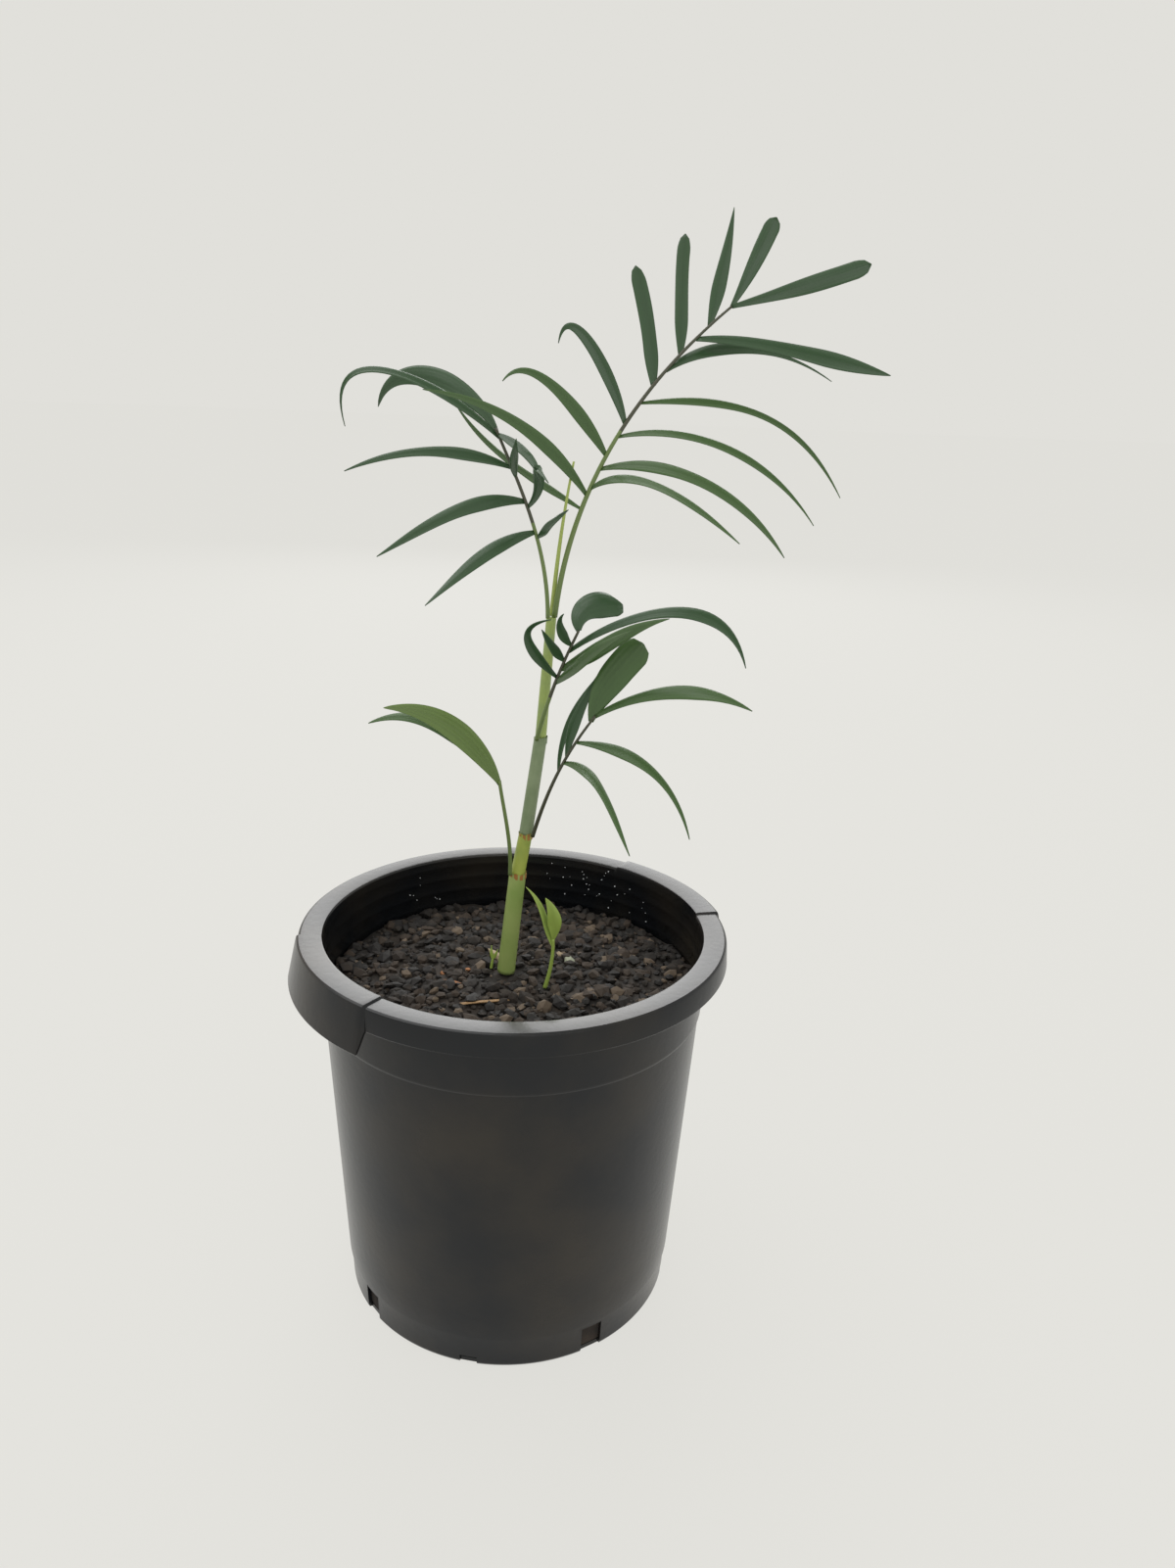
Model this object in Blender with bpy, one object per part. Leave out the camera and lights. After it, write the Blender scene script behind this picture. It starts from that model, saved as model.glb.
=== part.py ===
"""Young bamboo palm in a black nursery pot, as solids.

Z is up, the pot stands on z = 0 and its axis is the Z axis. The viewer of the photograph stands
on the -Y side, so X runs to the right in that view and Y runs away from it. Sizes below are in
millimetres and angles in degrees; the meshes are made in metres.
"""
import math

import bmesh
import bpy
from mathutils import Vector

MM = 0.001

# Pot: radii and heights
RIM_RADIUS = 100.0
RIM_INNER_RADIUS = 88.8
POT_HEIGHT = 185.0
SKIRT_DEPTH = 10.5
COLLAR_BOTTOM = 150.0
COLLAR_RADIUS = 90.0
WALL_TOP_RADIUS = 89.2
FOOT_RING_HEIGHT = 16.5
FOOT_RING_RADIUS = 81.3
BASE_RADIUS = 79.7
WALL_THICKNESS = 1.6
FLOOR_THICKNESS = 2.0
POT_SIDES = 64

# Pot: the two lifting grips, deeper flared stretches of the rim opposite each other
GRIP_CENTRES = (-59.5, 120.5)
GRIP_HALF_ANGLE = 22.3
GRIP_DEPTH = 20.0
GRIP_FLARE = 5.0
GRIP_RISE = 0.8

# Pot: drain slots in the corner of the base, angles counted from the front to the right
TALL_SLOTS = (29.0, 126.0, 209.0, 306.0)
TALL_SLOT_SIZE = (10.5, 14.0)
LOW_SLOTS = (77.0, 167.0, 257.0, 347.0)
LOW_SLOT_SIZE = (8.0, 4.5)

# Soil
SOIL_TOP = 161.0
SOIL_EDGE = 157.0
SOIL_PLATEAU = 28.0
SOIL_SIDES = 48
CLEAR = 0.3

# Stem: the joints where one leaf sheath ends and the next comes out, as x, y, z
JOINTS = ((-3.9, -2.0, 161.3), (0.9, -2.0, 212.0), (4.2, -2.0, 231.5), (10.0, -1.0, 277.0), (13.4, 0.0, 331.0))

# Stem: each sheath's name with its radius at the foot and at the mouth
SHEATHS = (
    ("sheath_lowest", 4.2, 3.9),
    ("sheath_second", 3.3, 3.1),
    ("sheath_grey", 3.1, 2.9),
    ("sheath_upper", 2.5, 2.2),
)

# A leaf is at least this part of its length thick
LEAF_THICKNESS = 0.0115

# Leaf outlines: width at the foot, where it is full, where it starts to narrow, width at the tip
SHAPES = {
    "lance": (0.28, 0.35, 0.30, 0.05),
    "blunt": (0.35, 0.30, 0.88, 0.45),
    "club": (0.22, 0.80, 0.90, 0.45),
    "fan": (0.16, 0.60, 0.86, 0.50),
    "late": (0.30, 0.66, 0.64, 0.06),
    "broad": (0.16, 0.45, 0.40, 0.06),
}

# Colour and roughness of each sub-part
COLOURS = {
    "pot": ((0.03, 0.03, 0.033), 0.45),
    "soil": ((0.05, 0.032, 0.02), 0.9),
    "stem": ((0.3, 0.4, 0.13), 0.45),
    "young_leaf": ((0.35, 0.45, 0.1), 0.45),
    "frond": ((0.05, 0.12, 0.05), 0.4),
}


def rib(start, end, heads, radii, full=0.36):
    """A leaf stalk: its two ends, the headings there and its radius at each end."""
    return {"start": start, "end": end, "heads": heads, "radii": radii, "full": full}


def leaf(at, reach, heads, width, turn, shape="lance", full=0.36):
    """One leaflet on a stalk.

    at: place along the stalk, 0 at the stem and 1 at the tip.
    reach: how far its tip lies to the right, away and up from its foot.
    heads: heading at the foot and at the tip, 0 to the right and 90 up.
    width: widest breadth. turn: how far its upper face looks to the viewer, foot and tip, with
    0 for straight up and 90 for straight at the viewer.
    """
    return {"at": at, "reach": reach, "heads": heads, "width": width, "turn": turn, "shape": shape, "full": full}


# Top frond, which leans to the right and carries the highest leaflets
TOP_RIB = rib((14.8, 0.6, 331.3), (86.0, 20.0, 460.5), (84, 40), (1.6, 0.7))
TOP_LEAVES = (
    leaf(1.00, (18, 10, 36), (60, 64), 7.0, (80, 85), "club"),
    leaf(1.00, (56, -5, 18), (16, 20), 7.4, (70, 80), "club"),
    leaf(0.92, (10, 18, 48), (76, 82), 6.0, (80, 80)),
    leaf(0.81, (2, 22, 49), (87, 82), 5.6, (80, 75), "blunt"),
    leaf(0.70, (-8, 21, 48), (93, 106), 6.4, (80, 80), "blunt"),
    leaf(0.57, (-29, 4, 31), (106, 262), 5.8, (75, 60), "lance", 0.50),
    leaf(0.47, (-44, -14, 28), (121, 235), 5.8, (75, 50)),
    leaf(0.35, (-67, -27, 40), (124, 176), 5.8, (65, 60)),
    leaf(0.31, (-56, 28, 42), (150, 125), 4.6, (40, 40)),
    leaf(0.87, (80, -15, -12), (5, -14), 8.0, (40, 65), "late", 0.30),
    leaf(0.75, (76, 19, -1), (38, -30), 6.4, (60, 20)),
    leaf(0.64, (93, 12, -37), (8, -58), 6.0, (30, 40), "lance", 0.42),
    leaf(0.53, (84, -15, -33), (16, -56), 6.0, (30, 40)),
    leaf(0.43, (75, -34, -31), (18, -58), 6.6, (35, 65)),
    leaf(0.37, (57, -48, -16), (44, -42), 5.6, (30, 45)),
)

# Left frond, on a dark stalk that arches up to the left
LEFT_RIB = rib((11.8, -2.9, 331.3), (-11.7, 6.0, 408.7), (91, 115), (1.2, 0.8))
LEFT_LEAVES = (
    leaf(0.79, (-68, -12, -3), (158, 206), 6.2, (45, 45)),
    leaf(0.61, (-59, -30, -21), (170, 212), 6.8, (60, 60)),
    leaf(0.45, (-43, -45, -25), (187, 220), 6.6, (55, 55)),
    leaf(0.95, (-65, 9, 2), (137, 285), 6.0, (35, 30), "lance", 0.60),
    leaf(0.98, (-53, 34, 8), (118, 256), 10.0, (60, 70), "broad", 0.46),
    leaf(0.42, (12, -25, 14), (56, 42), 5.0, (30, 30)),
    leaf(0.58, (8, -30, 12), (52, -50), 5.4, (50, 60), "lance", 0.70),
    leaf(0.74, (0, -22, 16), (98, 82), 4.6, (50, 60)),
    leaf(0.97, (18, -26, -18), (-20, -82), 4.6, (50, 60)),
)

# Middle frond, which comes forward from the stem and curls its tip away
MIDDLE_RIB = rib((8.1, -5.0, 277.4), (24.1, -26.0, 330.6), (78, 68), (1.3, 0.7))
MIDDLE_LEAVES = (
    leaf(0.58, (-4, -24, 29), (130, 20), 4.6, (60, 60), "lance", 0.60),
    leaf(0.73, (-10, -10, 15), (128, 118), 4.4, (60, 60)),
    leaf(0.87, (-4, -11, 15), (130, 50), 4.4, (60, 60)),
    leaf(1.00, (19, 14, 9), (104, -24), 13.0, (75, 25), "fan", 0.46),
    leaf(0.82, (71, -21, -1), (42, -78), 6.4, (35, 40), "late", 0.46),
    leaf(0.66, (40, -37, 29), (34, 20), 7.6, (50, 45)),
    leaf(0.53, (27, -51, 33), (55, 38), 5.6, (40, 40)),
)

# Lower frond, the second lowest leaf on the right
LOWER_RIB = rib((7.3, -6.1, 231.9), (32.1, -30.0, 295.5), (77, 58), (1.2, 0.7))
LOWER_LEAVES = (
    leaf(0.53, (21, 8, 47), (92, 48), 4.6, (30, 30)),
    leaf(0.65, (15, -3, 42), (88, 62), 5.6, (45, 45)),
    leaf(0.95, (20, -5, 35), (82, 50), 13.0, (65, 75), "fan"),
    leaf(1.00, (61, -25, 10), (40, -28), 6.8, (35, 35), "late"),
    leaf(0.78, (45, -41, -28), (12, -78), 5.8, (30, 40), "lance", 0.42),
    leaf(0.61, (25, -55, -21), (22, -64), 5.4, (25, 40)),
)

# Lowest leaf, in two lobes that arch to the left
LOW_RIB = rib((-2.7, -5.2, 212.4), (-8.0, -14.0, 261.0), (88, 98), (1.2, 1.0))
LOW_LEAVES = (
    leaf(0.97, (-48, -18, 38), (112, 182), 11.0, (50, 60), "broad"),
    leaf(0.95, (-58, 8, 25), (116, 208), 9.0, (45, 35), "broad", 0.40),
)

# Young side shoot and the tiny sprout beside the stem
SHOOT_RIB = rib((14.4, -18.0, 161.3), (17.6, -18.0, 186.0), (74, 92), (1.3, 0.9))
SHOOT_LEAVES = (
    leaf(0.98, (-4, -2, 22), (76, 122), 7.0, (70, 60), "broad"),
    leaf(0.85, (-13, 4, 28), (108, 140), 3.6, (50, 60)),
)
SPROUT_RIB = rib((-11.0, 1.0, 161.3), (-10.4, 1.0, 166.0), (88, 86), (0.9, 0.7))
SPROUT_LEAVES = (
    leaf(0.95, (-0.5, 1, 7), (100, 82), 1.6, (70, 70)),
    leaf(0.95, (2.5, -1, 6), (66, 76), 1.6, (70, 70)),
)

# Youngest leaf, still rolled to a spear behind the top frond's stalk
SPEAR_FOOT = (13.6, 3.9, 331.3)
SPEAR_TIP = (21.3, 5.5, 396.5)
SPEAR_RADII = (1.1, 0.45)


def unit(vector):
    return Vector(vector).normalized()


def heading(angle, depth):
    """A direction in the view plane, with its share of depth."""
    radians = math.radians(angle)
    return unit((math.cos(radians), depth, math.sin(radians)))


def bezier(start, end, heads, full):
    """Four control points of a smooth line between two ends with given headings."""
    start = Vector(start)
    end = Vector(end)
    chord = end - start
    flat = math.hypot(chord.x, chord.z)
    depth = max(-1.2, min(1.2, chord.y / max(flat, 1.0)))
    reach = chord.length * full
    first = start + heading(heads[0], depth) * reach
    second = end - heading(heads[1], depth) * reach
    return (start, first, second, end)


def on_line(line, t):
    s = 1.0 - t
    return line[0] * s**3 + line[1] * (3 * s * s * t) + line[2] * (3 * s * t * t) + line[3] * t**3


def along(line, t):
    s = 1.0 - t
    slope = (line[1] - line[0]) * (s * s) + (line[2] - line[1]) * (2 * s * t) + (line[3] - line[2]) * (t * t)
    return slope.normalized()


def place(line, share):
    """The value of t at a share of a line's length."""
    lengths = [0.0]
    for step in range(40):
        lengths.append(lengths[-1] + (on_line(line, (step + 1) / 40) - on_line(line, step / 40)).length)
    for step in range(40):
        if lengths[step + 1] >= share * lengths[-1]:
            part = (share * lengths[-1] - lengths[step]) / (lengths[step + 1] - lengths[step])
            return (step + part) / 40
    return 1.0


def breadth(shape, t):
    """Share of a leaf's full width at a place along it."""
    foot, grown, taper, tip = SHAPES[shape]
    wide = foot + (1.0 - foot) * math.sin(min(1.0, t / grown) * math.pi / 2)
    if t > taper:
        wide *= 1.0 - (1.0 - tip) * ((t - taper) / (1.0 - taper)) ** 1.6
    return wide


def skin(name, rings, capped=True):
    """A closed solid through rings of points, one after the other."""
    points = [point * MM for ring in rings for point in ring]
    count = len(rings[0])
    faces = []
    for level in range(len(rings) - 1):
        low = level * count
        high = low + count
        for side in range(count):
            after = (side + 1) % count
            faces.append((low + side, low + after, high + after, high + side))
    if capped:
        faces.append(tuple(reversed(range(count))))
        top = (len(rings) - 1) * count
        faces.append(tuple(range(top, top + count)))
    mesh = bpy.data.meshes.new(name)
    mesh.from_pydata([tuple(point) for point in points], [], faces)
    work = bmesh.new()
    work.from_mesh(mesh)
    bmesh.ops.triangulate(work, faces=work.faces)
    bmesh.ops.recalc_face_normals(work, faces=work.faces)
    work.to_mesh(mesh)
    work.free()
    thing = bpy.data.objects.new(name, mesh)
    bpy.context.scene.collection.objects.link(thing)
    return thing


def tube(name, line, radii, sides, steps):
    """A tapering round limb along a smooth line."""
    rings = []
    for step in range(steps + 1):
        t = step / steps
        centre = on_line(line, t)
        forward = along(line, t)
        across = unit(forward.cross(Vector((0.0, -1.0, 0.0))))
        up = across.cross(forward)
        radius = radii[0] + (radii[1] - radii[0]) * t
        ring = []
        for side in range(sides):
            angle = 2 * math.pi * side / sides
            ring.append(centre + across * (radius * math.cos(angle)) + up * (radius * math.sin(angle)))
        rings.append(ring)
    return skin(name, rings)


def blade(name, foot, plan, steps):
    """One leaf as a thin four-sided blade, thickest along its midrib."""
    foot = Vector(foot)
    tip = foot + Vector(plan["reach"])
    line = bezier(foot, tip, plan["heads"], plan["full"])
    length = sum((on_line(line, (i + 1) / 20) - on_line(line, i / 20)).length for i in range(20))
    thick = max(0.5, LEAF_THICKNESS * length) / 2
    side = -1.0 if plan["reach"][0] > 0 else 1.0
    rings = []
    for step in range(steps + 1):
        t = step / steps
        centre = on_line(line, t)
        forward = along(line, t)
        viewer = Vector((0.0, -1.0, 0.0))
        facing = unit(viewer - forward * viewer.dot(forward))
        turn = math.radians(plan["turn"][0] + (plan["turn"][1] - plan["turn"][0]) * t)
        normal = facing * math.sin(turn) + forward.cross(facing) * (side * math.cos(turn))
        across = forward.cross(normal)
        half = max(0.45, plan["width"] / 2 * breadth(plan["shape"], t))
        rise = thick if step < steps else thick * 0.5
        rings.append([centre + across * half, centre + normal * rise, centre - across * half, centre - normal * rise])
    return skin(name, rings)


def open_edges(mesh):
    """How many edges of a mesh don't have exactly two faces."""
    work = bmesh.new()
    work.from_mesh(mesh)
    count = sum(1 for edge in work.edges if not edge.is_manifold)
    work.free()
    return count


def join(base, others, operation="UNION"):
    """Joins or cuts with one Boolean on a collection, then drops the collection's objects."""
    group = bpy.data.collections.new("group")
    bpy.context.scene.collection.children.link(group)
    for other in others:
        bpy.context.scene.collection.objects.unlink(other)
        group.objects.link(other)
        other.hide_render = True
    change = base.modifiers.new("join", "BOOLEAN")
    change.operation = operation
    change.operand_type = "COLLECTION"
    change.collection = group
    for solver in ("EXACT", "MANIFOLD"):
        change.solver = solver
        bpy.context.view_layer.update()
        graph = bpy.context.evaluated_depsgraph_get()
        mesh = bpy.data.meshes.new_from_object(base.evaluated_get(graph))
        if not open_edges(mesh):
            break
    base.modifiers.clear()
    base.data = mesh
    for other in others:
        bpy.data.objects.remove(other)
    bpy.data.collections.remove(group)
    return base


def frond(name, stalk, leaves, steps=8):
    """A stalk with all its leaflets as one solid."""
    line = bezier(stalk["start"], stalk["end"], stalk["heads"], stalk["full"])
    base = tube(name, line, stalk["radii"], 8, 14)
    blades = []
    for number, plan in enumerate(leaves):
        foot = on_line(line, place(line, plan["at"]))
        blades.append(blade(name + "_leaf" + str(number), foot, plan, steps))
    return join(base, blades)


def inner_radius(height):
    """Inside radius of the pot wall at a height."""
    if height >= COLLAR_BOTTOM:
        share = (height - COLLAR_BOTTOM) / (POT_HEIGHT - COLLAR_BOTTOM)
        low = WALL_TOP_RADIUS - WALL_THICKNESS
        return low + (RIM_INNER_RADIUS - low) * share
    share = (height - FLOOR_THICKNESS) / (COLLAR_BOTTOM - FLOOR_THICKNESS)
    low = BASE_RADIUS - WALL_THICKNESS
    return low + (WALL_TOP_RADIUS - WALL_THICKNESS - low) * share


def pot_outline(gripped):
    """The pot's wall in section, from the middle of the underside round to the middle of the floor."""
    rise = GRIP_RISE if gripped else 0.0
    depth = GRIP_DEPTH if gripped else SKIRT_DEPTH
    flare = GRIP_FLARE if gripped else 0.6
    out = 0.8 if gripped else 0.0
    top = POT_HEIGHT + rise
    skirt = POT_HEIGHT - depth
    return [
        (BASE_RADIUS - 1.2, 0.0),
        (BASE_RADIUS, 1.2),
        (FOOT_RING_RADIUS - 0.7, FOOT_RING_HEIGHT - 0.5),
        (FOOT_RING_RADIUS, FOOT_RING_HEIGHT + 0.5),
        (WALL_TOP_RADIUS, COLLAR_BOTTOM),
        (COLLAR_RADIUS, COLLAR_BOTTOM + 1.0),
        (COLLAR_RADIUS + 0.6, POT_HEIGHT - 2.0),
        (RIM_RADIUS + out - 1.3, POT_HEIGHT - 2.0 + rise),
        (RIM_RADIUS + flare - 1.4, skirt),
        (RIM_RADIUS + flare, skirt),
        (RIM_RADIUS + out, top - 0.7),
        (RIM_RADIUS + out - 0.7, top),
        (RIM_INNER_RADIUS + 0.8, top),
        (RIM_INNER_RADIUS, POT_HEIGHT - 0.8),
        (inner_radius(COLLAR_BOTTOM), COLLAR_BOTTOM),
        (BASE_RADIUS - WALL_THICKNESS, FLOOR_THICKNESS),
    ]


def turned(name, angles, outline_at, low, high):
    """A solid turned about the Z axis, whose outline may change with the angle."""
    points = []
    for angle in angles:
        radians = math.radians(angle)
        for radius, height in outline_at(angle):
            points.append((radius * math.sin(radians) * MM, -radius * math.cos(radians) * MM, height * MM))
    count = len(outline_at(angles[0]))
    faces = []
    for number in range(len(angles)):
        here = number * count
        there = ((number + 1) % len(angles)) * count
        for step in range(count - 1):
            faces.append((here + step, there + step, there + step + 1, here + step + 1))
    points.append((0.0, 0.0, low * MM))
    points.append((0.0, 0.0, high * MM))
    foot = len(points) - 2
    head = len(points) - 1
    for number in range(len(angles)):
        here = number * count
        there = ((number + 1) % len(angles)) * count
        faces.append((foot, there, here))
        faces.append((head, here + count - 1, there + count - 1))
    mesh = bpy.data.meshes.new(name)
    mesh.from_pydata(points, [], faces)
    work = bmesh.new()
    work.from_mesh(mesh)
    bmesh.ops.triangulate(work, faces=work.faces)
    bmesh.ops.recalc_face_normals(work, faces=work.faces)
    work.to_mesh(mesh)
    work.free()
    thing = bpy.data.objects.new(name, mesh)
    bpy.context.scene.collection.objects.link(thing)
    return thing


def gripped(angle):
    """Whether an angle lies within one of the two grips."""
    return any(abs((angle - centre + 180.0) % 360.0 - 180.0) < GRIP_HALF_ANGLE for centre in GRIP_CENTRES)


def pot_angles():
    """Even angles round the pot, with a close pair at each end of a grip."""
    ends = []
    for centre in GRIP_CENTRES:
        ends.append((centre - GRIP_HALF_ANGLE) % 360.0)
        ends.append((centre + GRIP_HALF_ANGLE) % 360.0)
    angles = []
    for number in range(POT_SIDES):
        angle = 360.0 * number / POT_SIDES
        if all(abs((angle - end + 180.0) % 360.0 - 180.0) > 2.0 for end in ends):
            angles.append(angle)
    for end in ends:
        angles.append(end - 0.4)
        angles.append(end + 0.4)
    return sorted(angles)


def slot_cutter(name, angle, width, height):
    """A block across the corner of the pot's base."""
    radians = math.radians(angle)
    out = Vector((math.sin(radians), -math.cos(radians), 0.0))
    across = Vector((math.cos(radians), math.sin(radians), 0.0))
    rings = []
    for level in (-3.0, height):
        ring = []
        for reach, side in ((72.0, -1), (86.0, -1), (86.0, 1), (72.0, 1)):
            ring.append(out * reach + across * (side * width / 2) + Vector((0.0, 0.0, level)))
        rings.append(ring)
    return skin(name, rings)


def make_pot():
    pot = turned("pot", pot_angles(), lambda angle: pot_outline(gripped(angle)), 0.0, FLOOR_THICKNESS)
    cutters = []
    for number, angle in enumerate(TALL_SLOTS):
        cutters.append(slot_cutter("tall" + str(number), angle, TALL_SLOT_SIZE[0], TALL_SLOT_SIZE[1]))
    for number, angle in enumerate(LOW_SLOTS):
        cutters.append(slot_cutter("low" + str(number), angle, LOW_SLOT_SIZE[0], LOW_SLOT_SIZE[1]))
    return join(pot, cutters, "DIFFERENCE")


def make_soil():
    gap = CLEAR + 0.15
    outline = [
        (inner_radius(FLOOR_THICKNESS) - gap, FLOOR_THICKNESS + gap),
        (inner_radius(COLLAR_BOTTOM) - gap, COLLAR_BOTTOM),
        (inner_radius(SOIL_EDGE) - gap, SOIL_EDGE),
        (60.0, SOIL_TOP - 1.6),
        (SOIL_PLATEAU, SOIL_TOP),
    ]
    angles = [360.0 * number / SOIL_SIDES for number in range(SOIL_SIDES)]
    return turned("soil", angles, lambda angle: outline, FLOOR_THICKNESS + gap, SOIL_TOP)


def make_stem():
    """The stem as the sheaths that wrap it, one above the other."""
    made = []
    for number, (name, foot_radius, mouth_radius) in enumerate(SHEATHS):
        foot = Vector(JOINTS[number])
        mouth = Vector(JOINTS[number + 1])
        if number:
            foot = foot + Vector((0.0, 0.0, CLEAR))
        rings = []
        for step in range(7):
            t = step / 6
            centre = foot + (mouth - foot) * t
            radius = foot_radius + (mouth_radius - foot_radius) * t
            ring = []
            for side in range(16):
                angle = 2 * math.pi * side / 16
                ring.append(centre + Vector((radius * math.cos(angle), radius * math.sin(angle), 0.0)))
            rings.append(ring)
        made.append(skin(name, rings))
    return made


def paint(thing, slot):
    """Gives a sub-part a material of its own."""
    colour, roughness = COLOURS[slot]
    made = bpy.data.materials.new(thing.name)
    made.use_nodes = True
    shader = made.node_tree.nodes["Principled BSDF"]
    shader.inputs["Base Color"].default_value = (*colour, 1.0)
    shader.inputs["Roughness"].default_value = roughness
    shader.inputs["Metallic"].default_value = 0.0
    thing.data.materials.clear()
    thing.data.materials.append(made)


for thing in list(bpy.data.objects):
    bpy.data.objects.remove(thing)

paint(make_pot(), "pot")
paint(make_soil(), "soil")
for sheath in make_stem():
    paint(sheath, "stem")
paint(tube("spear", bezier(SPEAR_FOOT, SPEAR_TIP, (86, 80), 0.36), SPEAR_RADII, 8, 8), "young_leaf")
paint(frond("frond_top", TOP_RIB, TOP_LEAVES), "frond")
paint(frond("frond_left", LEFT_RIB, LEFT_LEAVES), "frond")
paint(frond("frond_middle", MIDDLE_RIB, MIDDLE_LEAVES), "frond")
paint(frond("frond_lower", LOWER_RIB, LOWER_LEAVES), "frond")
paint(frond("low_leaf", LOW_RIB, LOW_LEAVES), "frond")
paint(frond("side_shoot", SHOOT_RIB, SHOOT_LEAVES), "young_leaf")
paint(frond("sprout", SPROUT_RIB, SPROUT_LEAVES, 4), "young_leaf")
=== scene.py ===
"""Looks for the young bamboo palm in its black nursery pot.

Everything stands in the frame of the solids: Z up, the pot's underside at z = 0, the viewer of
the photograph on the -Y side. Sizes are millimetres and degrees, except that the floor and the
lamps are placed in metres.
"""
import math
import random

import bmesh
import bpy
from mathutils import Matrix, Vector, noise


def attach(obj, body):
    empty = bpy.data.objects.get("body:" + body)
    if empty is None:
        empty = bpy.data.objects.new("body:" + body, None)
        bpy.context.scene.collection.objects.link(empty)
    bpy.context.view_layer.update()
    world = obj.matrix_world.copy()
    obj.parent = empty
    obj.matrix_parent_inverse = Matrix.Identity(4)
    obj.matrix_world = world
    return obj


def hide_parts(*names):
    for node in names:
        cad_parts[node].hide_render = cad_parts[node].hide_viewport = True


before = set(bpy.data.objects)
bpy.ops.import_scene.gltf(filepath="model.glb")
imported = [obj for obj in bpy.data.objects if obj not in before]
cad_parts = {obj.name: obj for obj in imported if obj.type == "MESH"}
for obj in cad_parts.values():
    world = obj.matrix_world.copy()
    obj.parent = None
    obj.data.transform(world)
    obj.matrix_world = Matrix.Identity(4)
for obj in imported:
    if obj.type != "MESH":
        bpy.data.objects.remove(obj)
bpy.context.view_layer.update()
bpy.context.scene.view_settings.view_transform = "Standard"

MM = 0.001
SEED = 21
TO_VIEWER = Vector((0.0, -1.0, 0.0))

# Camera: where the photographer stood, and how the view was turned
CAMERA_PLACE = (0.0, -490.0, 417.8)
CAMERA_DOWN = 18.29
CAMERA_RIGHT = 3.72
CAMERA_ROLL = 2.18
CAMERA_LENS = 26.06
SENSOR_LONG_SIDE = 36.0

# Stage: background colour, how much shade the floor takes, its half side and its gap in metres
BACKDROP = (0.753, 0.745, 0.708)
FLOOR_COLOUR = (0.9, 0.9, 0.88)
FLOOR_SHADE = 0.08
FLOOR_SIDE = 40.0
FLOOR_GAP = 0.0005

# Lamps: name, place and size in metres, and power; all of them point at the plant
LAMPS = (
    ("sky_light", (-0.6, 0.5, 1.9), 1.6, 14.0),
    ("back_light", (0.1, 2.4, 1.35), 1.6, 26.0),
    ("front_light", (0.5, -1.6, 1.2), 1.2, 5.0),
)
LAMP_TARGET = (0.0, 0.0, 0.2)

# Grain of a material's relief, and of the patches of its second colour
GRAIN_DETAIL = 6.0
GRAIN_DEPTH = 0.4
PATCH_DETAIL = 5.0
PATCH_RANGE = (0.42, 0.68)

# Pot: radii and heights
RIM_RADIUS = 100.0
RIM_INNER_RADIUS = 88.8
POT_HEIGHT = 185.0
SKIRT_DEPTH = 10.5
SKIRT_FLARE = 0.6
COLLAR_BOTTOM = 150.0
COLLAR_RADIUS = 90.0
WALL_TOP_RADIUS = 89.2
FOOT_RING_HEIGHT = 16.5
FOOT_RING_RADIUS = 81.3
BASE_RADIUS = 79.7
WALL_THICKNESS = 1.6
FLOOR_THICKNESS = 2.0
INNER_RINGS = (180.0, 173.0, 166.0, 159.0)
RING_OUT = 0.22
INNER_BEND = 140.0

# Pot: grips and drain slots, angles from the front to the right
GRIP_CENTRES = (-59.5, 120.5)
GRIP_HALF_ANGLE = 22.3
GRIP_RAMP = 0.4
GRIP_END_SHIFTS = (-0.4, -0.15, 0.15, 0.4)
GRIP_DEPTH = 20.0
GRIP_FLARE = 5.0
GRIP_RISE = 0.8
GRIP_OUT = 0.8
TALL_SLOTS = (29.0, 126.0, 209.0, 306.0)
TALL_SLOT_SIZE = (10.5, 14.0)
LOW_SLOTS = (77.0, 167.0, 257.0, 347.0)
LOW_SLOT_SIZE = (8.0, 4.5)
SLOT_REACH = (77.7, 86.0)
SLOT_DROP = 3.0

# Pot: sections round its axis, steps up its wall, and the angle that counts as a sharp edge
POT_SECTIONS = 240
WALL_STEPS = 12
SHARP_ANGLE = 24.0

# Pot: colour, roughness, relief and its scale, patches and their colour, and mirror strength
POT_LOOK = ((0.005, 0.006, 0.0075), 0.24, 0.2, 300.0, 16.0, (0.022, 0.018, 0.013))
POT_SPECULAR = 0.36

# Drops: patches as two angles and a count, heights, and sizes
DROP_PATCHES = ((125.0, 170.0, 34), (-160.0, -140.0, 8))
DROP_HEIGHTS = (161.0, 182.0)
DROP_SIZE = (0.12, 0.36)
DROP_OUT = 0.3
# The drops are real water; their near-white colour is a painted highlight standing for their glints
WATER_GLINT_COLOUR = (0.75, 0.78, 0.80)
WATER_ROUGH = 0.05

# Soil: its surface, highest in the middle, and the relief of its lumps
SOIL_TOP = 161.0
SOIL_EDGE = 157.0
SOIL_PLATEAU = 28.0
SOIL_SLOPE = 60.0
SOIL_SINK = 0.8
BROAD_PACE = 0.09
BROAD_RELIEF = 2.3
FINE_PACE = 0.3
FINE_RELIEF = 1.2
SOIL_RINGS = 40
SOIL_SIDES = 120
SOIL_CENTRE = 0.004
SOIL_CLEAR = 0.4

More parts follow.
